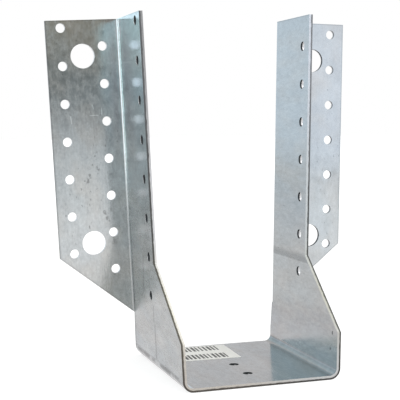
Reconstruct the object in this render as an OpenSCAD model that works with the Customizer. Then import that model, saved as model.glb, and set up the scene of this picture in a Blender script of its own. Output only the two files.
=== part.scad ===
// Joist hanger folded from one strip of galvanised steel: a seat that carries the joist,
// two sides that are nailed to it, and two flanges that are nailed or bolted to the header.
// The origin is the middle of the seat's underside. +Y points at the header, +Z up.

/* [Steel] */
// Thickness of the sheet
steel_t = 2; // [1.5:0.1:3]
// Inside radius of the bends between the seat and the sides
bend_r = 3.5; // [2:0.5:5]
// Inside radius of the folds between the sides and the flanges
fold_r = 1; // [0.5:0.5:4]

/* [Seat and sides] */
// Clear width between the sides at the seat
clear_w = 78; // [60:1:120]
// Height of the sides above the seat's top face
side_h = 181.5; // [160:0.5:210]
// Depth of the seat, from its front edge to the header
seat_d = 87; // [75:1:105]
// Depth of the upper part of the sides
side_d = 46; // [36:1:60]
// Height above the seat at which the sides' front edge starts to slope forwards
slope_top = 55; // [45:1:70]
// Height above the seat at which that slope ends
slope_foot = 21.5; // [15:0.5:30]
// Angle by which the left side has sprung open
splay_left = 2.7; // [0:0.1:4]
// Angle by which the right side has sprung open
splay_right = 1.2; // [0:0.1:4]

/* [Flanges] */
// Width of each flange, from the outer face of its side
flange_w = 39; // [36:1:50]
// Height above the seat of the flange's lower outer corner
cut_top = 55.5; // [45:0.5:70]
// Height above the seat at which the flange's sloping edge meets the fold
cut_foot = 22.5; // [15:0.5:30]
// Height above the seat at which the side's back edge is out at the header again
notch_foot = 8; // [6:0.5:12]

/* [Holes] */
// Diameter of the nail holes
nail_d = 5; // [3.5:0.1:6]
// Diameter of the bolt holes
bolt_d = 13; // [9:0.5:14]
// Distance between the nail holes of a column
pitch = 20; // [18:0.5:22]
// Distance from the ends of the strip to the first row, before the shift
first_row = 5; // [5:0.5:8]
// How far the punched pattern lies to the left of the strip's middle
punch_shift = 1; // [0:0.25:1.5]
// Distance of the inner nail column from the outer face of its side
inner_col = 9; // [7:0.5:11]
// Distance from the inner nail column to the outer one
col_gap = 22; // [20:0.5:24]
// Distance of the sides' nail column from their upper front edge
side_col = 8; // [6:0.5:12]
// Distance of the front nail hole in the seat from the seat's front edge
seat_hole_in = 19; // [10:0.5:30]

/* [Hidden] */
$fn = 64;

// distance of the bends' middles from the hanger's own
bend_x = clear_w / 2 - bend_r;
// the flanges' backs lie in the header's plane, and the folds start a sheet and a radius in front of it
header_y = seat_d / 2;
front_y = header_y - seat_d;
fold_y = header_y - steel_t - fold_r;
// the notch at the foot of each fold reaches half-way round the fold
notch_y = header_y - (steel_t + fold_r) / 2;
// rise of the flange's sloping edge for each millimetre away from the side
cut_slope = (cut_top - cut_foot) / flange_w;
// the bolt column runs midway between the two nail columns, its holes clear of the rows of both
bolt_col = inner_col + col_gap / 2;
bolt_drop = 0.75 * pitch;
// how far a drill reaches past the sheet on both faces
reach = steel_t;

// The angle nearest to a splay whose cosine has six decimals, so that a turned side keeps its exact size
function turn(splay) = acos(round(cos(splay) * 1e6) / 1e6);

// Height of the flange's sloping edge at a distance from the outer face of the side
function cut_z(col) = cut_foot + cut_slope * col;

// Heights of a column's holes: one a pitch, down to a hole's diameter above the sloping edge
function rows(first, col, d) = [first : -pitch : cut_z(col) + d];

// A side's own frame: x outwards from its inner face, z up the side from the seat's top face.
// The splay turns it about the middle of the bend at its foot.
module in_side(splay) {
    translate([bend_x, 0, steel_t + bend_r])
        rotate([0, turn(splay), 0])
            translate([bend_r, 0, -bend_r])
                children();
}

// Hole through a flange at a distance from the side's outer face, in the side's frame
module flange_hole(col, z, d) {
    translate([steel_t + col, header_y + reach, z])
        rotate([90, 0, 0])
            cylinder(d = d, h = steel_t + 2 * reach);
}

// Hole through a side, in the side's frame
module side_hole(z) {
    translate([-reach, header_y - side_d + side_col, z])
        rotate([0, 90, 0])
            cylinder(d = nail_d, h = steel_t + 2 * reach);
}

// Flat of a side: deep at the seat, sloping back to the upper part, notched under the fold
module side_flat() {
    rotate([90, 0, 90])
        linear_extrude(steel_t)
            polygon([
                [front_y, bend_r],
                [header_y, bend_r],
                [header_y, notch_foot],
                [notch_y, cut_foot],
                [fold_y, cut_foot],
                [fold_y, side_h],
                [header_y - side_d, side_h],
                [header_y - side_d, slope_top],
                [front_y, slope_foot]
            ]);
}

// Flange with its fold, cut off below along the sloping edge
module flange() {
    fold_x = steel_t + fold_r;
    difference() {
        translate([0, 0, cut_foot])
            linear_extrude(side_h - cut_foot)
                difference() {
                    union() {
                        intersection() {
                            translate([fold_x, fold_y])
                                circle(fold_r + steel_t);
                            translate([0, fold_y])
                                square([fold_x, fold_r + steel_t]);
                        }
                        translate([fold_x, header_y - steel_t])
                            square([flange_w - fold_r, steel_t]);
                    }
                    translate([fold_x, fold_y])
                        circle(fold_r);
                }
        rotate([90, 0, 0])
            linear_extrude(2 * seat_d, center = true)
                polygon([
                    [steel_t, cut_foot],
                    [steel_t + 2 * flange_w, cut_foot],
                    [steel_t + 2 * flange_w, cut_z(2 * flange_w)]
                ]);
    }
}

// Bend from the seat up to a side: a quarter ring, cut off where the flat of the side starts
module seat_bend(splay) {
    difference() {
        translate([bend_x, header_y, steel_t + bend_r])
            rotate([90, 0, 0])
                rotate_extrude(angle = 90, start = -90)
                    translate([bend_r, 0])
                        square([steel_t, seat_d]);
        in_side(splay)
            translate([-bend_r, front_y - reach, bend_r])
                cube([bend_r + steel_t + reach, seat_d + 2 * reach, bend_r + steel_t]);
    }
}

// One side with its bend and flange; first is its top row, and drop lowers the side's own column
module side(splay, first, drop) {
    seat_bend(splay);
    in_side(splay)
        difference() {
            union() {
                side_flat();
                flange();
            }
            for (z = rows(first, inner_col + col_gap, nail_d))
                flange_hole(inner_col + col_gap, z, nail_d);
            for (z = rows(first - pitch / 2, inner_col, nail_d))
                flange_hole(inner_col, z, nail_d);
            for (z = rows(first - drop, 0, nail_d))
                side_hole(z);
            bolt_rows = [for (z = rows(first - bolt_drop, bolt_col, bolt_d)) z];
            for (z = [bolt_rows[0], bolt_rows[len(bolt_rows) - 1]])
                flange_hole(bolt_col, z, bolt_d);
        }
}

// Flat of the seat between its two bends, with the two holes for nails from below
module seat() {
    difference() {
        translate([-bend_x, front_y, 0])
            cube([2 * bend_x, seat_d, steel_t]);
        for (y = [0, pitch])
            translate([-punch_shift, front_y + seat_hole_in + y, -reach])
                cylinder(d = nail_d, h = steel_t + 2 * reach);
    }
}

// The two sides' nail columns are staggered by half a pitch, so that their nails pass each other
module hanger() {
    color([0.7, 0.72, 0.73]) {
        seat();
        mirror([1, 0, 0])
            side(splay_left, side_h - first_row + punch_shift, 0);
        side(splay_right, side_h - first_row - punch_shift, pitch / 2);
    }
}

hanger();
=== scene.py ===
import bpy
import math
import numpy as np
from mathutils import Matrix, Vector


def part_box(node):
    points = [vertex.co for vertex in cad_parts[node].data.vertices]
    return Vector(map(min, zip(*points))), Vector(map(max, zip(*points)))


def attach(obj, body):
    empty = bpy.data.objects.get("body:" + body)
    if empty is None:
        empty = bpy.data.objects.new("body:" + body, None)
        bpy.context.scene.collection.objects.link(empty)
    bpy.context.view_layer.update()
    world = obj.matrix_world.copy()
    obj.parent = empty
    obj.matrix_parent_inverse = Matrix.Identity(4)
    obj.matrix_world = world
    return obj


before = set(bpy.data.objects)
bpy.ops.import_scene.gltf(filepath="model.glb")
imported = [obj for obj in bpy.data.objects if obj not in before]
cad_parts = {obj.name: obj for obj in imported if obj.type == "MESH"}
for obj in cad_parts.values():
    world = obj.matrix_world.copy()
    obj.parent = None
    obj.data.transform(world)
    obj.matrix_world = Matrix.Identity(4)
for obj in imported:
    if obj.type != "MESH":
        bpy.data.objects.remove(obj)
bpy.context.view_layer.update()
scene = bpy.context.scene
scene.view_settings.view_transform = "Standard"
print("frame loaded:", sorted(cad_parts))

mm = 0.001
noiseMean = 0.5      # the value that noise varies about


# one node, with its inputs linked or set by name or number
def addNode(tree, kind, inputs=None, **settings):
    node = tree.nodes.new("ShaderNode" + kind)
    for key, value in settings.items():
        setattr(node, key, value)
    for key, value in (inputs or {}).items():
        if isinstance(value, bpy.types.NodeSocket):
            tree.links.new(value, node.inputs[key])
        else:
            node.inputs[key].default_value = value
    return node


# arithmetic between sockets and numbers
def calc(tree, operation, *values):
    return addNode(tree, "Math", dict(enumerate(values)), operation=operation).outputs[0]


# several values multiplied
def product(tree, first, *others):
    for other in others:
        first = calc(tree, "MULTIPLY", first, other)
    return first


# 1 where every test holds; a test is (value, sign, limit)
def allOf(tree, *tests):
    return product(tree, *(calc(tree, "GREATER_THAN" if sign == ">" else "LESS_THAN", value, limit)
                           for value, sign, limit in tests))


# the greatest of several values
def anyOf(tree, first, *others):
    for other in others:
        first = calc(tree, "MAXIMUM", first, other)
    return first


# a value carried from one range to another, smooth at both ends
def ramp(tree, value, low, high, toLow=0.0, toHigh=1.0):
    node = addNode(tree, "MapRange", {0: value, 1: low, 2: high, 3: toLow, 4: toHigh},
                   interpolation_type="SMOOTHSTEP")
    return node.outputs[0]


# a blend of two numbers
def blend(tree, share, first, second):
    return addNode(tree, "Mix", {0: share, 2: first, 3: second}, data_type="FLOAT").outputs[0]


# a blend of two colours
def blendColours(tree, share, first, second):
    return addNode(tree, "Mix", {0: share, 6: first, 7: second}, data_type="RGBA").outputs[2]


def newMaterial(name):
    material = bpy.data.materials.new(name)
    material.use_nodes = True
    tree = material.node_tree
    tree.nodes.clear()
    return material, tree, addNode(tree, "OutputMaterial")


# a grid of points, rows by columns, becomes quads between each four neighbours;
# its UV map is the share of the way along the columns and the rows
def gridObject(name, points, material):
    rows, columns = points.shape[:2]
    index = np.arange(rows * columns).reshape(rows, columns)
    quads = np.stack([index[:-1, :-1], index[:-1, 1:], index[1:, 1:], index[1:, :-1]], axis=-1)
    mesh = bpy.data.meshes.new(name)
    mesh.from_pydata(points.reshape(-1, 3).tolist(), [], quads.reshape(-1, 4).tolist())
    ways = np.meshgrid(np.linspace(0, 1, columns), np.linspace(0, 1, rows))
    share = np.stack(ways, axis=-1).reshape(-1, 2)
    mesh.uv_layers.new(name="UVMap").data.foreach_set("uv", share[quads.reshape(-1)].reshape(-1))
    mesh.materials.append(material)
    thing = bpy.data.objects.new(name, mesh)
    scene.collection.objects.link(thing)
    return thing


# Camera
cameraSet = {
    "place": (-183.75, -502.84, 129.98),   # mm from the middle of the seat's underside
    "yaw": -18.3085,                       # degrees, about Z from +Y
    "pitch": -4.5333,
    "roll": 0.4713,
    "lens": 93.21,                         # mm, as the sensor's width
    "sensor": 36.0,
    "clip": (0.01, 50),                    # metres
}


def makeCamera(settings):
    data = bpy.data.cameras.new("camera")
    data.lens = settings["lens"]
    data.sensor_width = settings["sensor"]
    data.sensor_fit = "HORIZONTAL"
    data.clip_start, data.clip_end = settings["clip"]
    camera = bpy.data.objects.new("camera", data)
    scene.collection.objects.link(camera)
    turn = Matrix.Identity(4)
    # a camera looks along its own -Z: the quarter turn about X raises that to +Y
    turns = ((settings["yaw"], "Z"), (settings["pitch"], "X"), (settings["roll"], "Y"), (90, "X"))
    for angle, axis in turns:
        turn = turn @ Matrix.Rotation(math.radians(angle), 4, axis)
    camera.matrix_world = Matrix.Translation(Vector(settings["place"]) * mm) @ turn
    scene.camera = camera


makeCamera(cameraSet)
print("camera placed")

# Sizes of the folded strip that the finishes follow, in mm
stripSet = {
    "sheet": 2.0,            # thickness
    "bend": 3.5,             # inside radius of the bends between the seat and the sides
    "fold": 1.0,             # inside radius of the folds between the sides and the flanges
    "clear": 78.0,           # between the sides at the seat
    "splay": (2.7, 1.2),     # degrees that the left and the right side lean out
    "tall": 181.5,           # height of the sides above the seat's top face
    "holeLine": 38.0,        # of the sides' nail holes, in front of the header's plane
    "nail": 5.0,             # diameter of the nail holes
    "foldFoot": 24.0,        # height at which the folds start
    "flange": 39.0,          # width of a flange beyond the side's outer face
    "sideDeep": 46.0,        # depth of the sides' upper part
    "cut": (22.5, 55.5),     # heights of the flange's sloping edge, at the fold and at its outer end
    "grain": (0.55, 2.2),    # length and width of the zinc's grain off the flanges, against that on them
    "faceShift": 3.7,        # how far the noise moves on for each mm of depth
    "skin": 0.3,             # depth that still counts as a face
    "slack": 0.1,            # left free round edges and holes when they are looked for
    "steep": 0.5,            # part of a normal along an axis from which it faces that way
    "holeFoot": 3.0,         # height above the bends' middles from which the sides have holes
}

# Galvanised steel: mottled zinc, scuffed at the bends, with bare sheared edges, and painted shade and
# highlights at the bends, the left fold and the rims
steelSet = {
    "zincCool": (0.450, 0.485, 0.496, 1),
    "zincWarm": (0.471, 0.485, 0.478, 1),
    "tint": ((20, 16), 0.36, 0.70),          # grain in mm, and the noise between which cool turns warm
    # grain along and across in mm, detail, and how far it lightens or darkens the inner face,
    # the sides' outer face, and the left and the right flange's front
    "tones": {
        "cloud": (15, 11, 4, (0.30, 0.62, 0.26, 0.36)),
        "mottle": (4.2, 3.0, 3, (0.46, 0.62, 0.38, 0.30)),
        "dash": (6, 0.9, 2, (0.06, 0.06, 0.28, 0.08)),
        "streak": (60, 2.2, 2, (0.04, 0.05, 0.08, 0.05)),
        "grain": (1.5, 1.2, 1, (0.24, 0.13, 0.32, 0.16)),
    },
    "toneRough": 0.58,                       # roughness of that noise
    "faceTurn": (0.8, 1.4),                  # depths between which the inner face turns into the outer
    "speckGrain": (2.8, 1.6),
    "speckFrom": (0.69, 0.77),               # noise between which specks come in
    "speckDark": 0.40,
    "rough": (0.12, 0.20),                   # least and greatest roughness
    "roughTurn": (0.3, 0.7),                 # mottle between which the one turns into the other
    "roughWorn": 0.12,                       # added on rubbed places
    "roughFoot": 0.05,                       # added at the foot of the right side
    "ripple": 0.012,                         # height of the short dashes in mm
    "wave": 0.02,                            # height of the long waves in mm
    "rimWide": 0.9,                          # of the rolled-over rim along the sheared edges, in mm
    "rimFull": 0.3,                          # share of that width over which it is full
    # painted shade of that rim, darkest at the sheared edge
    "rimShade": 0.20,
    "bendShade": (0.05, 0.42),                # painted shade inside the seat's bends, below and above
    "bendFade": (-0.8, -0.1),                # heights from the bends' middles between which it ends
    # faint press line across the right side's inner face, rougher, and darkened by painted shade:
    # heights where it starts, is full, wanes and ends
    "crease": (52.5, 53.4, 55.0, 58.5),
    "creaseShade": 0.27,
    "scuffGrain": (3.2, 4.5),
    "scuffRub": (0.38, 0.54),                # noise between which the scuffs come in
    "scuffAt": (5.0, 0.5, 1.9),              # height, and half widths where it is full and ends, in mm
    "scuffDark": 0.50,
    "dents": ((-37.9, 22.1, 0.9), (-35.9, 13.6, 0.65)),     # on the right side: y, z and radius in mm
    "dentTall": 0.4,                         # how far a dent is drawn out upwards and downwards, in radii
    # painted shade in the dents, over the hollow that the bump gives them
    "dentShade": 0.8,
    "dentDeep": 0.08,                        # mm
    # strokes between two places, with their half width in mm: bright and dark ones on the left flange
    # by x and z, and soft dark ones on the left side by y and z
    "brightStrokes": ((-63.7, 137.2, -63.1, 135.2, 0.5), (-58.7, 135.6, -58.6, 132.5, 0.5),
                      (-65.0, 131.7, -60.7, 131.8, 0.45), (-75.5, 131.0, -75.0, 127.5, 0.5)),
    "darkStrokes": ((-61.2, 104.2, -61.0, 102.8, 1.2), (-64.2, 105.4, -64.0, 104.2, 0.6),
                    (-65.8, 100.0, -65.5, 98.6, 1.1), (-66.8, 97.6, -66.6, 96.0, 1.2),
                    (-68.2, 96.5, -67.6, 95.9, 1.0), (-65.2, 87.0, -65.1, 86.2, 0.6),
                    (-65.9, 84.3, -65.7, 83.4, 0.6), (-54.4, 81.8, -54.2, 80.8, 1.1),
                    (-57.9, 79.9, -57.6, 78.6, 1.3), (-56.7, 77.0, -56.4, 76.0, 1.2),
                    (-55.6, 75.6, -55.3, 74.9, 0.6), (-66.3, 72.5, -66.1, 71.4, 0.5),
                    (-70.3, 83.8, -70.1, 83.2, 0.5), (-76.6, 89.8, -76.5, 89.2, 0.5)),
    "sideStrokes": ((1.1, 24.0, 1.2, 7.5, 1.7), (1.6, 34.0, 2.6, 26.0, 1.1),
                    (16.6, 58.5, 19.6, 40.0, 1.6)),
    "strokeCore": 0.2,                       # share of the half width over which a stroke is full
    "strokeBright": 0.40,
    "strokeDark": 0.46,
    "sideDark": 0.32,
    "strokeGrain": (1.3, 0.9, 0.36, 0.60),   # grain that breaks the dark ones up, and noise where it does
    # painted reflection on the left side next to the fold, shade low down and highlight high up: distances
    # where it is full and ends, heights between which it turns, and what it adds low down and high up
    "foldReflection": ((2.0, 12.5), (75.0, 155.0), (-0.38, -0.24, -0.28), (0.28, 0.48, 0.44)),
    # painted shade on the left flange in the corner next to the fold: distances where it is full and ends,
    # heights where it starts and is full, and what it adds
    "flangeFoldShade": ((2.0, 10.5), (95.0, 150.0), (-0.18, -0.26, -0.25)),
    # painted highlights on the left side's outer face, paler high up: heights where each starts and is
    # full, its share at the front, and what it adds
    "sideTopHighlight": ((95.0, 150.0, 1.0, (0.03, 0.13, 0.16)), (164.0, 178.0, 0.6, (0.60, 0.68, 0.62))),
    "paleFade": (12.0, 36.0),                # distances from the fold between which the share falls
    "foldReach": (0.8, 1.6),                 # distances between which the fold ends and the side starts
    # the fold itself, painted shade low down and a painted highlight higher up: heights between which it
    # pales, and what that adds below and above
    "foldHighlight": ((68.0, 112.0, -0.20, 0.68), (138.0, 158.0, 0.0, 0.05)),
    # painted highlight along the front rim of the left side: heights where it starts and is full, its
    # width in mm, and what it adds
    "frontHighlight": (115.0, 160.0, 1.3, 0.30),
    "frontFull": 0.4,                        # share of that width over which it is full
    "dimAt": (70.0, 130.0),                  # heights between which the left side's rougher part ends
    # paler foot of the right side: heights where it is full and ends, and what it adds
    "paleFoot": (16.0, 22.0, 0.09),
    # across the seat towards the right: where each change starts and is full, and what it adds
    "seatTones": ((14.0, 20.0, -0.12), (31.0, 37.0, 0.09)),
    # tint of the right flange's front: heights where it is full and ends, and what it adds
    "flangeTint": (105.0, 150.0, (-0.01, 0.015, 0.04)),
    # the cut zone is bright and the torn zone dark; how both change with height and from left to right is
    # painted light and shade
    # bare edges: at heights in mm, bright and dark on the left, bright and dark on the right
    "edges": (
        (8, (0.54, 0.51, 0.465, 1), (0.085, 0.075, 0.065, 1),
         (0.54, 0.55, 0.55, 1), (0.05, 0.048, 0.045, 1)),
        (38, (0.78, 0.76, 0.68, 1), (0.115, 0.11, 0.085, 1),
         (0.50, 0.50, 0.44, 1), (0.10, 0.10, 0.085, 1)),
        (75, (0.66, 0.67, 0.68, 1), (0.078, 0.08, 0.078, 1),
         (0.56, 0.60, 0.61, 1), (0.08, 0.085, 0.085, 1)),
        (165, (0.32, 0.32, 0.325, 1), (0.11, 0.115, 0.12, 1),
         (0.63, 0.67, 0.73, 1), (0.20, 0.21, 0.225, 1)),
    ),
    "edgeCross": (-20.0, 34.0),              # x between which the left pair turns into the right one
    "edgeSplit": (0.52, 0.56),               # share of the thickness that shines, left and right
    # holes: the torn zone is real; its near-black, and its greater share in the left side's holes, are
    # painted shade inside the holes
    "boreBright": (0.78, 0.79, 0.80, 1),
    "boreDark": (0.028, 0.034, 0.037, 1),
    "boreSplit": (0.90, 0.50),               # share torn dark in the sides' holes, left and right
    "splitSoft": (0.07, 0.08),               # half widths of these two borders, in shares
    "ragged": 0.5,                           # how far the noise moves them
    "boreShade": (0.30, 0.70),               # shares between which the right flange's holes turn grey
    "boltShade": (-0.20, 0.20),              # the same in its bolt holes
    "boltAt": (12.5, 27.5),                  # between these distances from the side's outer face
    "boreGrey": (0.10, 0.105, 0.11, 1),
    "bareRough": 0.5,
    "bareMetallic": 0.6,
}


# the strip laid flat: along it, across it, and through its thickness, all in mm
def stripPlace(tree, strip):
    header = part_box("hanger")[1].y / mm
    bendX = strip["clear"] / 2 - strip["bend"]
    bendZ = strip["sheet"] + strip["bend"]
    spot = addNode(tree, "SeparateXYZ", {0: addNode(tree, "TexCoord").outputs["Object"]}).outputs
    x, y, z = (calc(tree, "DIVIDE", spot[axis], mm) for axis in "XYZ")
    far = calc(tree, "ABSOLUTE", x)
    hand = calc(tree, "SIGN", x)
    past = calc(tree, "SUBTRACT", far, bendX)
    rise = calc(tree, "SUBTRACT", z, bendZ)
    # a side's own axes, from the bend's middle: outwards through it and on along the flange, and up it
    onRight = allOf(tree, (x, ">", 0))
    sine = blend(tree, onRight, *(math.sin(math.radians(angle)) for angle in strip["splay"]))
    cosine = blend(tree, onRight, *(math.cos(math.radians(angle)) for angle in strip["splay"]))
    out = calc(tree, "SUBTRACT", calc(tree, "MULTIPLY", past, cosine), calc(tree, "MULTIPLY", rise, sine))
    up = calc(tree, "ADD", calc(tree, "MULTIPLY", past, sine), calc(tree, "MULTIPLY", rise, cosine))
    # the depth runs from the inner face to the outer one; round a bend it follows the bend's radius
    round2 = calc(tree, "ADD", calc(tree, "POWER", calc(tree, "MAXIMUM", past, 0), 2),
                  calc(tree, "POWER", rise, 2))
    onSide = allOf(tree, (rise, ">", 0))
    flangeY = header - strip["sheet"] - strip["slack"] / 2
    onFlange = allOf(tree, (y, ">", flangeY), (z, ">", strip["foldFoot"]))
    depth = calc(tree, "SUBTRACT", blend(tree, onSide, calc(tree, "SQRT", round2), out), strip["bend"])
    depth = blend(tree, onFlange, depth, calc(tree, "SUBTRACT", header, y))
    along = calc(tree, "ADD", calc(tree, "MINIMUM", far, bendX + bendZ), calc(tree, "MAXIMUM", rise, 0))
    along = calc(tree, "MULTIPLY", along, hand)
    across = calc(tree, "ADD", y, calc(tree, "MAXIMUM", calc(tree, "SUBTRACT", out, bendZ), 0))
    along, across = (calc(tree, "MULTIPLY", way, blend(tree, onFlange, 1 / size, 1.0))
                     for way, size in zip((along, across), strip["grain"]))
    return {"x": x, "y": y, "z": z, "far": far, "rise": rise, "out": out, "up": up, "depth": depth,
            "along": along, "across": across, "onFlange": onFlange, "onRight": onRight,
            "header": header, "bendX": bendX, "bendZ": bendZ,
            "noiseDepth": calc(tree, "MULTIPLY", depth, strip["faceShift"])}


# noise over the flat strip, with grains of a given length and width
def stripNoise(tree, place, size, detail=2.0, roughness=0.5):
    spot = addNode(tree, "CombineXYZ", {
        0: calc(tree, "DIVIDE", place["along"], size[0]),
        1: calc(tree, "DIVIDE", place["across"], size[1]),
        2: place["noiseDepth"],
    })
    return addNode(tree, "TexNoise", {"Vector": spot.outputs[0], "Scale": 1.0, "Detail": detail,
                                      "Roughness": roughness}).outputs["Fac"]


# where the sheet was sheared or punched: its edges, and the walls of its holes
def shearedPlaces(tree, strip, place):
    normal = addNode(tree, "SeparateXYZ", {0: addNode(tree, "NewGeometry").outputs["Normal"]}).outputs
    nx, ny, nz = (calc(tree, "ABSOLUTE", normal[axis]) for axis in "XYZ")
    y, z, out = place["y"], place["z"], place["out"]
    slack, steep = strip["slack"], strip["steep"]
    foldY = place["header"] - strip["sheet"] - strip["fold"]
    flangeStart = strip["bend"] + strip["sheet"] + strip["fold"] + 2 * slack
    flangeEnd = strip["bend"] + strip["sheet"] + strip["flange"]
    front = allOf(tree, (ny, ">", steep), (y, "<", foldY - slack))
    back = allOf(tree, (normal["Y"], ">", steep), (z, "<", strip["foldFoot"]))
    ends = allOf(tree, (nz, ">", steep), (place["rise"], ">", strip["skin"]))
    flangeWalls = allOf(tree, (nx, ">", steep), (out, ">", flangeStart), (place["onFlange"], ">", 0))
    seatWalls = allOf(tree, (nz, "<", steep), (place["far"], "<", place["bendX"] - slack))
    sheared = anyOf(tree, front, back, ends, flangeWalls, seatWalls)
    offLine = calc(tree, "ABSOLUTE", calc(tree, "SUBTRACT", y, place["header"] - strip["holeLine"]))
    sideHole = allOf(tree, (offLine, "<", strip["nail"] / 2 + 2 * slack),
                     (place["rise"], ">", strip["holeFoot"]))
    flangeHole = allOf(tree, (out, ">", flangeStart), (out, "<", flangeEnd - 4 * slack))
    seatHole = allOf(tree, (place["far"], "<", 2 * strip["nail"]),
                     (calc(tree, "ABSOLUTE", y), "<", place["header"] - strip["nail"]))
    return sheared, anyOf(tree, sideHole, flangeHole, seatHole)


# a number that runs from 1 at zero distance to 0 at the edge of a mark
def nearness(tree, distance, inner, edge):
    return ramp(tree, calc(tree, "ABSOLUTE", distance), inner, edge, 1.0, 0.0)


# 1 on a straight stroke between two places on a face, fading to 0 at its half width
def strokeOn(tree, u, v, stroke, core):
    startU, startV, endU, endV, wide = stroke
    runU, runV = endU - startU, endV - startV
    length2 = runU ** 2 + runV ** 2
    offU, offV = calc(tree, "SUBTRACT", u, startU), calc(tree, "SUBTRACT", v, startV)
    share = calc(tree, "MULTIPLY_ADD", offU, runU / length2, calc(tree, "MULTIPLY", offV, runV / length2))
    share = calc(tree, "MINIMUM", calc(tree, "MAXIMUM", share, 0), 1)
    missU = calc(tree, "MULTIPLY_ADD", share, -runU, offU)
    missV = calc(tree, "MULTIPLY_ADD", share, -runV, offV)
    miss2 = calc(tree, "ADD", calc(tree, "POWER", missU, 2), calc(tree, "POWER", missV, 2))
    return nearness(tree, calc(tree, "SQRT", miss2), core * wide, wide)


# marks of making and handling, and places of painted shade and highlights, each 1 where it is full
def wearAndPaintedLight(tree, settings, strip, place):
    x, y, z, rise, depth = (place[name] for name in ("x", "y", "z", "rise", "depth"))
    offFlange = calc(tree, "SUBTRACT", 1, place["onFlange"])
    # the strip's faces, and the parts of them that the marks lie on
    inner = allOf(tree, (depth, "<", strip["skin"]))
    outer = allOf(tree, (depth, ">", strip["sheet"] - strip["skin"]))
    onLeft = allOf(tree, (x, "<", 0))
    onSide = allOf(tree, (rise, ">", 0))
    seatTop = product(tree, inner, allOf(tree, (rise, "<", 0)))
    rightInside = product(tree, inner, onSide, offFlange, place["onRight"])
    rightFront = product(tree, place["onRight"], outer, place["onFlange"])
    leftFront = product(tree, onLeft, outer, place["onFlange"])
    leftOutside = product(tree, onLeft, outer, onSide, offFlange)

    # the strokes of one kind, by z and one other axis
    def strokes(kind, u):
        return anyOf(tree, *(strokeOn(tree, u, z, stroke, settings["strokeCore"])
                             for stroke in settings[kind]))

    # press line and dents, whose darkening is painted shade
    start, full, wane, end = settings["crease"]
    crease = product(tree, ramp(tree, z, start, full), ramp(tree, z, wane, end, 1.0, 0.0))
    tall = settings["dentTall"]
    dents = [strokeOn(tree, y, z, (dentY, dentZ - tall * radius, dentY, dentZ + tall * radius, radius),
                      settings["strokeCore"]) for dentY, dentZ, radius in settings["dents"]]
    # scuffs round the outside of the bends, painted shade inside them
    rub = ramp(tree, stripNoise(tree, place, settings["scuffGrain"], detail=3), *settings["scuffRub"])
    at, full, end = settings["scuffAt"]
    scuff = product(tree, nearness(tree, calc(tree, "SUBTRACT", z, at), full, end), rub, outer, offFlange)
    bend = product(tree, seatTop, allOf(tree, (place["far"], ">", place["bendX"])),
                   ramp(tree, rise, -strip["bend"], 0, *settings["bendShade"]),
                   ramp(tree, rise, *settings["bendFade"], 1.0, 0.0))
    # the left side's fold, the rest of its outer face, and the painted highlight on its front rim
    fromFold = calc(tree, "SUBTRACT", place["header"] - strip["sheet"], y)
    offFold = product(tree, leftOutside, ramp(tree, fromFold, *settings["foldReach"]))
    onFold = calc(tree, "SUBTRACT", leftOutside, offFold)
    start, full, wide, _ = settings["frontHighlight"]
    fromFront = calc(tree, "SUBTRACT", y, place["header"] - strip["sideDeep"])
    frontHighlight = product(tree, leftOutside, ramp(tree, z, start, full),
                       ramp(tree, fromFront, settings["frontFull"] * wide, wide, 1.0, 0.0))
    broken = ramp(tree, stripNoise(tree, place, settings["strokeGrain"][:2]), *settings["strokeGrain"][2:])
    # painted shade on the rolled-over rims along the sheared edges
    beyond = calc(tree, "SUBTRACT", place["out"], place["bendZ"])
    foot, end = strip["cut"]
    slope = (end - foot) / strip["flange"]
    upCut = calc(tree, "MULTIPLY_ADD", beyond, -slope,
                 calc(tree, "ADD", place["up"], strip["bend"] - foot))
    gaps = (calc(tree, "SUBTRACT", strip["tall"] - strip["bend"], place["up"]),
            blend(tree, place["onFlange"], calc(tree, "SUBTRACT", place["header"], y),
                  calc(tree, "MINIMUM", calc(tree, "SUBTRACT", strip["flange"], beyond),
                       calc(tree, "DIVIDE", upCut, math.hypot(1, slope)))))
    wide = settings["rimWide"]
    rim = ramp(tree, calc(tree, "MINIMUM", *gaps), settings["rimFull"] * wide, wide, 1.0, 0.0)
    return {
        "crease": product(tree, crease, rightInside),
        "dent": product(tree, anyOf(tree, *dents), rightInside),
        "scuff": scuff,
        "bend": bend,
        "rim": rim,
        "bright": product(tree, leftFront, strokes("brightStrokes", x)),
        "dark": product(tree, leftFront, broken, strokes("darkStrokes", x)),
        "side": product(tree, leftOutside, strokes("sideStrokes", y)),
        "foot": product(tree, rightInside, ramp(tree, z, *settings["paleFoot"][:2], 1.0, 0.0)),
        "seat": [product(tree, seatTop, ramp(tree, x, *change[:2])) for change in settings["seatTones"]],
        "top": [product(tree, offFold, ramp(tree, z, *pale[:2]),
                        ramp(tree, fromFold, *settings["paleFade"], 1.0, pale[2]))
                for pale in settings["sideTopHighlight"]],
        "fold": [product(tree, onFold, ramp(tree, z, *change)) for change in settings["foldHighlight"]],
        "frontHighlight": frontHighlight,
        "dim": product(tree, leftOutside, ramp(tree, z, *settings["dimAt"], 1.0, 0.0)),
        "foldReflection": product(tree, offFold, ramp(tree, fromFold, *settings["foldReflection"][0], 1.0, 0.0)),
        "tint": product(tree, rightFront, ramp(tree, z, *settings["flangeTint"][:2], 1.0, 0.0)),
        "foldShade": product(tree, leftFront, ramp(tree, z, *settings["flangeFoldShade"][1]),
                        ramp(tree, beyond, *settings["flangeFoldShade"][0], 1.0, 0.0)),
    }
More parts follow.
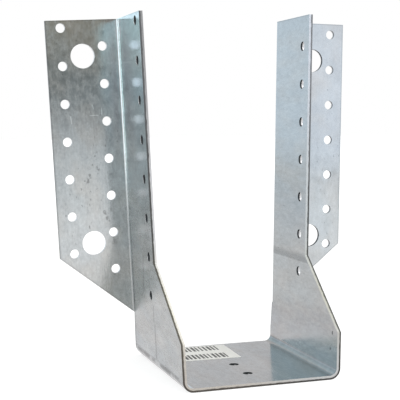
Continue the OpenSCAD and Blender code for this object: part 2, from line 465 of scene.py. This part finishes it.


# the bare metal of edges and holes: part of the thickness is cut bright, the rest torn dark, its darkness
# in the holes partly painted shade
def bareMetal(tree, settings, strip, place, hole, ragged):
    through = calc(tree, "DIVIDE", place["depth"], strip["sheet"])
    ragged = calc(tree, "SUBTRACT", ragged, noiseMean)
    through = calc(tree, "ADD", through, calc(tree, "MULTIPLY", ragged, settings["ragged"]))
    edgeSoft, boreSoft = settings["splitSoft"]
    level, *colours = settings["edges"][0]
    for top, *others in settings["edges"][1:]:
        share = ramp(tree, place["z"], level, top)
        colours = [blendColours(tree, share, *pair) for pair in zip(colours, others)]
        level = top
    right = ramp(tree, place["x"], *settings["edgeCross"])
    bright, dark = (blendColours(tree, right, colours[kind], colours[kind + 2]) for kind in (0, 1))
    split = blend(tree, right, *settings["edgeSplit"])
    torn = ramp(tree, calc(tree, "SUBTRACT", through, split), -edgeSoft, edgeSoft)
    edge = blendColours(tree, torn, bright, dark)
    split = blend(tree, place["onRight"], *settings["boreSplit"])
    clean = ramp(tree, calc(tree, "SUBTRACT", through, split), -boreSoft, boreSoft)
    clean = anyOf(tree, clean, place["onFlange"])
    bore = blendColours(tree, clean, settings["boreDark"], settings["boreBright"])
    # beside the right flange's front face the walls are in shade
    column = calc(tree, "SUBTRACT", place["out"], place["bendZ"])
    low, high = settings["boltAt"]
    bolt = allOf(tree, (column, ">", low), (column, "<", high))
    shade = blend(tree, bolt, ramp(tree, through, *settings["boreShade"]),
                  ramp(tree, through, *settings["boltShade"]))
    rim = product(tree, shade, place["onFlange"], place["onRight"])
    bore = blendColours(tree, rim, bore, settings["boreGrey"])
    return blendColours(tree, hole, edge, bore)


def makeSteel(settings, strip):
    material, tree, out = newMaterial("galvanised steel")
    place = stripPlace(tree, strip)
    outer = ramp(tree, place["depth"], *settings["faceTurn"])
    tones = {}
    tone = 1.0
    onFront = calc(tree, "MULTIPLY", outer, place["onFlange"])
    for name, (length, width, detail, (inside, outside, left, right)) in settings["tones"].items():
        tones[name] = stripNoise(tree, place, (length, width), detail, settings["toneRough"])
        gain = blend(tree, onFront, blend(tree, outer, inside, outside),
                     blend(tree, place["onRight"], left, right))
        tone = calc(tree, "MULTIPLY_ADD", calc(tree, "SUBTRACT", tones[name], noiseMean), gain, tone)
    speck = ramp(tree, stripNoise(tree, place, settings["speckGrain"], detail=2), *settings["speckFrom"])
    sheared, hole = shearedPlaces(tree, strip, place)
    wearAndLight = wearAndPaintedLight(tree, settings, strip, place)
    # each mark multiplies the tone by one plus its gain, the painted shade and highlights among them; the
    # bends and the fold hold their gains already
    for mark, gain in ((speck, -settings["speckDark"]), (wearAndLight["crease"], -settings["creaseShade"]),
                       (wearAndLight["dent"], -settings["dentShade"]), (wearAndLight["scuff"], -settings["scuffDark"]),
                       (wearAndLight["bend"], -1.0), (wearAndLight["rim"], -settings["rimShade"]),
                       (wearAndLight["bright"], settings["strokeBright"]), (wearAndLight["dark"], -settings["strokeDark"]),
                       (wearAndLight["side"], -settings["sideDark"]), (wearAndLight["foot"], settings["paleFoot"][2]),
                       (wearAndLight["frontHighlight"], settings["frontHighlight"][3]),
                       *((share, 1.0) for share in wearAndLight["fold"]),
                       *((share, change[2])
                         for share, change in zip(wearAndLight["seat"], settings["seatTones"]))):
        tone = calc(tree, "MULTIPLY", tone, calc(tree, "MULTIPLY_ADD", mark, gain, 1.0))

    grain, low, high = settings["tint"]
    tint = ramp(tree, stripNoise(tree, place, grain, detail=3), low, high)
    zinc = blendColours(tree, tint, settings["zincCool"], settings["zincWarm"])
    zinc = addNode(tree, "VectorMath", {0: zinc, "Scale": tone}, operation="SCALE").outputs[0]
    height, low, high = settings["foldReflection"][1:]
    added = blendColours(tree, ramp(tree, place["z"], *height), (*low, 1), (*high, 1))
    # each share of a face is multiplied by one plus its colour: the painted reflection and shade by the
    # left fold, the right flange's tint, and the painted highlights high on the left side
    for share, colour in ((wearAndLight["foldReflection"], added), (wearAndLight["foldShade"], settings["flangeFoldShade"][2]),
                          (wearAndLight["tint"], settings["flangeTint"][2]),
                          *((share, pale[3]) for share, pale in zip(wearAndLight["top"], settings["sideTopHighlight"]))):
        gain = addNode(tree, "VectorMath", {0: colour, 1: share, 2: (1, 1, 1)},
                       operation="MULTIPLY_ADD").outputs[0]
        zinc = addNode(tree, "VectorMath", {0: zinc, 1: gain}, operation="MULTIPLY").outputs[0]
    rough = ramp(tree, tones["mottle"], *settings["roughTurn"], *settings["rough"])
    rubbed = anyOf(tree, wearAndLight["crease"], wearAndLight["scuff"], wearAndLight["dim"])
    rough = calc(tree, "MULTIPLY_ADD", rubbed, settings["roughWorn"], rough)
    rough = calc(tree, "MULTIPLY_ADD", wearAndLight["foot"], settings["roughFoot"], rough)
    bare = bareMetal(tree, settings, strip, place, hole, tones["dash"])

    height = calc(tree, "ADD", calc(tree, "MULTIPLY", tones["dash"], settings["ripple"]),
                  calc(tree, "MULTIPLY", tones["cloud"], settings["wave"]))
    height = calc(tree, "MULTIPLY_ADD", wearAndLight["dent"], -settings["dentDeep"], height)
    bump = addNode(tree, "Bump", {"Strength": 1.0, "Distance": mm, "Height": height})
    shader = addNode(tree, "BsdfPrincipled", {
        "Base Color": blendColours(tree, sheared, zinc, bare),
        "Metallic": blend(tree, sheared, 1.0, settings["bareMetallic"]),
        "Roughness": blend(tree, sheared, rough, settings["bareRough"]),
        "Normal": bump.outputs[0],
    })
    tree.links.new(shader.outputs[0], out.inputs[0])
    return material


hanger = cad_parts["hanger"]
hanger.data.materials.clear()
hanger.data.materials.append(makeSteel(steelSet, stripSet))
print("steel laid on the hanger")

# Paper stock label at the back of the seat
labelSet = {
    "corner": (-34.6, 11.0),     # front left corner on the seat, in mm
    "size": (43.0, 31.8),        # width and depth
    "turn": -2.0,                # degrees
    "thick": 0.12,
    "wave": 0.05,                # height of the paper's waves
    "waves": (9, 4, 7, 3),       # radians along and across in the sine, across and along in the cosine
    "flatRim": 12,               # the waves reach their height at one part in so many from the rim
    "grid": (60, 45),            # points along and across
    "paper": (0.85, 0.845, 0.80, 1),
    "ink": (0.02, 0.02, 0.018, 1),
    "pitch": 2.25,               # from bar to bar in mm
    "barWidth": (0.36, 0.74),    # least and greatest share of the pitch that is inked
    "rows": ((0.08, 0.39), (0.63, 0.95)),    # shares of the depth that the two rows of bars cover
    "ends": (0.06, 0.86),        # shares of the width between which they run
    "rowShift": 40,              # from one row's random widths to the other's
    "fibre": (900.0, 3.0),       # scale and detail of the paper's fibres
    "patchy": ((0.3, 0.6), (0.8, 1.0)),      # fibre noise between which the ink covers so much
    "fibreBump": (0.3, 0.02),    # strength, and height in mm
    "rough": 0.55,
}


# Paper on the seat: a flat rectangle turned a little, with a faint wave that falls to nothing at its rim
def makeLabel(settings, strip):
    u, v = np.meshgrid(*(np.linspace(0, 1, count) for count in settings["grid"]))
    rim = np.minimum(1, settings["flatRim"] * np.minimum(np.minimum(u, 1 - u), np.minimum(v, 1 - v)))
    sineU, sineV, cosineV, cosineU = settings["waves"]
    waves = np.sin(sineU * u + sineV * v) * np.cos(cosineV * v - cosineU * u)
    lift = settings["wave"] * rim * (1 + waves) / 2
    turn = math.radians(settings["turn"])
    wide, deep = u * settings["size"][0], v * settings["size"][1]
    x = settings["corner"][0] + wide * math.cos(turn) - deep * math.sin(turn)
    y = settings["corner"][1] + wide * math.sin(turn) + deep * math.cos(turn)
    z = strip["sheet"] + settings["thick"] + lift
    label = gridObject("stock_label", np.stack([x, y, z], axis=-1) * mm, makePaper(settings))
    wall = label.modifiers.new("paper", "SOLIDIFY")
    wall.thickness = settings["thick"] * mm
    wall.offset = -1
    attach(label, "root")


# white paper with two rows of printed bars: in each step of the pitch a bar of its own random width
def makePaper(settings):
    material, tree, out = newMaterial("label paper")
    share = addNode(tree, "SeparateXYZ", {0: addNode(tree, "TexCoord").outputs["UV"]}).outputs
    steps = calc(tree, "MULTIPLY", share["X"], settings["size"][0] / settings["pitch"])
    narrow, broad = settings["barWidth"]
    ink = None
    for number, (low, high) in enumerate(settings["rows"]):
        step = calc(tree, "ADD", calc(tree, "FLOOR", steps), settings["rowShift"] * number)
        chance = addNode(tree, "TexWhiteNoise", {"W": step}, noise_dimensions="1D").outputs["Value"]
        bar = calc(tree, "LESS_THAN", calc(tree, "FRACT", steps),
                   calc(tree, "MULTIPLY_ADD", chance, broad - narrow, narrow))
        row = allOf(tree, (bar, ">", 0), (share["Y"], ">", low), (share["Y"], "<", high),
                    (share["X"], ">", settings["ends"][0]), (share["X"], "<", settings["ends"][1]))
        ink = row if ink is None else anyOf(tree, ink, row)
    spot = addNode(tree, "TexCoord").outputs["Object"]
    scale, detail = settings["fibre"]
    fibre = addNode(tree, "TexNoise", {"Vector": spot, "Scale": scale, "Detail": detail}).outputs["Fac"]
    noise, cover = settings["patchy"]
    ink = calc(tree, "MULTIPLY", ink, ramp(tree, fibre, *noise, *cover))
    strength, height = settings["fibreBump"]
    bump = addNode(tree, "Bump", {"Strength": strength, "Distance": height * mm, "Height": fibre})
    shader = addNode(tree, "BsdfPrincipled", {
        "Base Color": blendColours(tree, ink, settings["paper"], settings["ink"]),
        "Roughness": settings["rough"],
        "Normal": bump.outputs[0],
    })
    tree.links.new(shader.outputs[0], out.inputs[0])
    return material


makeLabel(labelSet, stripSet)
print("label stuck on the seat")


# Floor: pale paper, brightened to white for the eye, and patchy as under studio lamps in the steel
floorSet = {
    "reach": 6.0,                # metres from the middle to each side
    "grid": 13,                  # points along each side
    "drop": 0.0002,              # metres below the seat
    "colour": (0.42, 0.42, 0.415, 1),
    "lift": (0.74, 0.92),        # added brightness near the hanger and far away
    "spread": (0.15, 1.6),       # distances between which it grows, in metres
    "mirrored": ((0.485, 0.465, 0.475, 1), (0.49, 0.525, 0.56, 1)),      # the same in the steel
    # pools of light and shade in the steel: x and y, radii where each is full and ends,
    # in metres, and its colour
    "pools": (
        (0.48, -0.36, 0.50, 0.76, (0.29, 0.265, 0.255, 1)),
        (0.40, -1.60, 0.40, 1.20, (0.18, 0.15, 0.13, 1)),
        (-0.80, 0.05, 0.25, 0.75, (0.08, 0.10, 0.10, 1)),
        (-0.07, 0.10, 0.03, 0.10, (0.055, 0.055, 0.055, 1)),
        (-0.24, -0.66, 0.06, 0.22, (-0.19, -0.15, -0.145, 1)),
        (-0.105, -0.18, 0.04, 0.14, (-0.07, -0.06, -0.07, 1)),
        (-0.30, -1.02, 0.12, 0.34, (0.20, 0.235, 0.20, 1)),
        (-0.10, -0.13, 0.02, 0.09, (-0.07, -0.07, -0.10, 1)),
        (-0.46, 1.20, 0.20, 0.70, (-0.05, -0.035, -0.01, 1)),
        (0.01, 0.11, 0.03, 0.10, (-0.15, -0.16, -0.15, 1)),
    ),
}


def makeFloor(settings):
    material, tree, out = newMaterial("floor paper")
    paper = addNode(tree, "BsdfDiffuse", {"Color": settings["colour"]})
    spot = addNode(tree, "TexCoord").outputs["Object"]
    far = addNode(tree, "VectorMath", {0: spot}, operation="LENGTH").outputs["Value"]
    lift = ramp(tree, far, *settings["spread"], *settings["lift"])
    mirrored = blendColours(tree, ramp(tree, far, *settings["spread"]), *settings["mirrored"])
    for x, y, full, end, colour in settings["pools"]:
        off = addNode(tree, "VectorMath", {0: spot, 1: (x, y, 0)}, operation="DISTANCE").outputs["Value"]
        share = ramp(tree, off, full, end, 1.0, 0.0)
        pool = addNode(tree, "VectorMath", {0: colour[:3], "Scale": share}, operation="SCALE").outputs[0]
        mirrored = addNode(tree, "VectorMath", {0: mirrored, 1: pool}, operation="ADD").outputs[0]
    path = addNode(tree, "LightPath").outputs
    mirror = anyOf(tree, path["Is Glossy Ray"], path["Is Transmission Ray"])
    colour = blendColours(tree, path["Is Camera Ray"], mirrored, lift)
    seen = anyOf(tree, path["Is Camera Ray"], mirror)
    glow = addNode(tree, "Emission", {"Color": colour, "Strength": seen})
    both = addNode(tree, "AddShader", {0: paper.outputs[0], 1: glow.outputs[0]})
    tree.links.new(both.outputs[0], out.inputs[0])
    side = np.linspace(-settings["reach"], settings["reach"], settings["grid"])
    x, y = np.meshgrid(side, side)
    floor = gridObject("floor", np.stack([x, y, np.full_like(x, -settings["drop"])], axis=-1), material)


makeFloor(floorSet)
print("floor laid")

# Studio: soft boxes by direction from the hanger, and a card in front of it that pales downwards
studioSet = {
    "middle": (0, 0, 0.1),
    # name, azimuth from -Y towards +X, elevation, distance, width, height, radiance, colour
    "boxes": (
        ("leftBox", -84, 9.5, 0.85, 0.75, 0.50, 0.70, (0.92, 1.0, 1.0)),
        ("frontBox", -15, 9.5, 1.5, 0.45, 0.36, 0.40, (0.75, 1.0, 1.0)),
        ("rightBox", 30, 6, 1.7, 0.55, 0.50, 0.6, (0.92, 0.88, 1.0)),
        ("topBox", 28, 52, 1.25, 1.0, 0.9, 3.0, (1.0, 1.0, 1.0)),
    ),
    "cardWay": (7.2, 7.5),       # azimuth and elevation
    "cardFar": 1.1,
    "cardSize": (0.32, 0.45),
    # shares of its height, and the colours between which it turns there
    "cardFoot": ((0.095, 0.34), (1.03, 1.03, 1.04, 1), (0.29, 0.32, 0.328, 1)),
    "cardHead": ((0.40, 0.60), (0.50, 0.455, 0.378, 1)),
}


def wayFrom(azimuth, elevation):
    a, e = math.radians(azimuth), math.radians(elevation)
    return Vector((math.sin(a) * math.cos(e), -math.cos(a) * math.cos(e), math.sin(e)))


# an area lamp has the power that gives its face this radiance: radiance x pi x area
def makeBox(middle, name, azimuth, elevation, distance, width, height, radiance, colour):
    data = bpy.data.lights.new(name, "AREA")
    data.shape = "RECTANGLE"
    data.size, data.size_y = width, height
    data.energy = radiance * math.pi * width * height
    data.color = colour
    box = bpy.data.objects.new(name, data)
    way = wayFrom(azimuth, elevation)
    box.location = Vector(middle) + way * distance
    box.rotation_euler = way.to_track_quat("Z", "Y").to_euler()
    box.visible_camera = False
    scene.collection.objects.link(box)


# a flat card across the way to it, seen only in the steel, that glows as a painted reflection: pale at its
# foot, grey above and warm at its head
def makeCard(settings):
    material, tree, out = newMaterial("shaded card")
    height = addNode(tree, "SeparateXYZ", {0: addNode(tree, "TexCoord").outputs["UV"]}).outputs["Y"]
    turn, pale, grey = settings["cardFoot"]
    colour = blendColours(tree, ramp(tree, height, *turn), pale, grey)
    turn, warm = settings["cardHead"]
    colour = blendColours(tree, ramp(tree, height, *turn), colour, warm)
    glow = addNode(tree, "Emission", {"Color": colour, "Strength": 1.0})
    tree.links.new(glow.outputs[0], out.inputs[0])
    way = wayFrom(*settings["cardWay"])
    right = Vector((-way.y, way.x, 0)).normalized()
    up = way.cross(right).normalized()
    halves = (-0.5, 0.5)
    u, v = np.meshgrid(halves, halves)
    centre = Vector(settings["middle"]) + way * settings["cardFar"]
    points = (np.array(centre) + u[..., None] * settings["cardSize"][0] * np.array(right)
              + v[..., None] * settings["cardSize"][1] * np.array(up))
    card = gridObject("shaded_card", points, material)
    card.visible_camera = False
    card.visible_diffuse = False
    card.visible_shadow = False


for box in studioSet["boxes"]:
    makeBox(studioSet["middle"], *box)
makeCard(studioSet)
print("studio set up")

# World: white to the eye; in the steel a pale blue-grey backdrop that darkens upwards
worldSet = {
    "low": ((0.77, 0.83, 0.87, 1), (0.94, 1.045, 1.15, 1)),      # in front and behind
    "high": ((0.68, 0.80, 0.865, 1), (0.715, 0.69, 0.695, 1)),   # to the left and to the right
    "frontTurn": (-0.3, 0.3),    # parts of the direction along Y and X between which they turn
    "sideTurn": (-0.25, 0.15),
    "fade": (6.0, 11.5),         # degrees above the horizon
    "light": 0.75,
}


def makeWorld(settings):
    world = bpy.data.worlds.new("studio")
    world.use_nodes = True
    tree = world.node_tree
    tree.nodes.clear()
    way = addNode(tree, "SeparateXYZ", {0: addNode(tree, "TexCoord").outputs["Generated"]}).outputs
    start, end = (math.sin(math.radians(angle)) for angle in settings["fade"])
    low = blendColours(tree, ramp(tree, way["Y"], *settings["frontTurn"]), *settings["low"])
    high = blendColours(tree, ramp(tree, way["X"], *settings["sideTurn"]), *settings["high"])
    drop = blendColours(tree, ramp(tree, way["Z"], start, end), low, high)
    path = addNode(tree, "LightPath").outputs
    mirror = anyOf(tree, path["Is Glossy Ray"], path["Is Transmission Ray"])
    colour = blendColours(tree, mirror, (1, 1, 1, 1), drop)
    strength = blend(tree, anyOf(tree, path["Is Camera Ray"], mirror), settings["light"], 1.0)
    sky = addNode(tree, "Background", {"Color": colour, "Strength": strength})
    addNode(tree, "OutputWorld", {"Surface": sky.outputs[0]})
    scene.world = world


makeWorld(worldSet)
print("world lit")
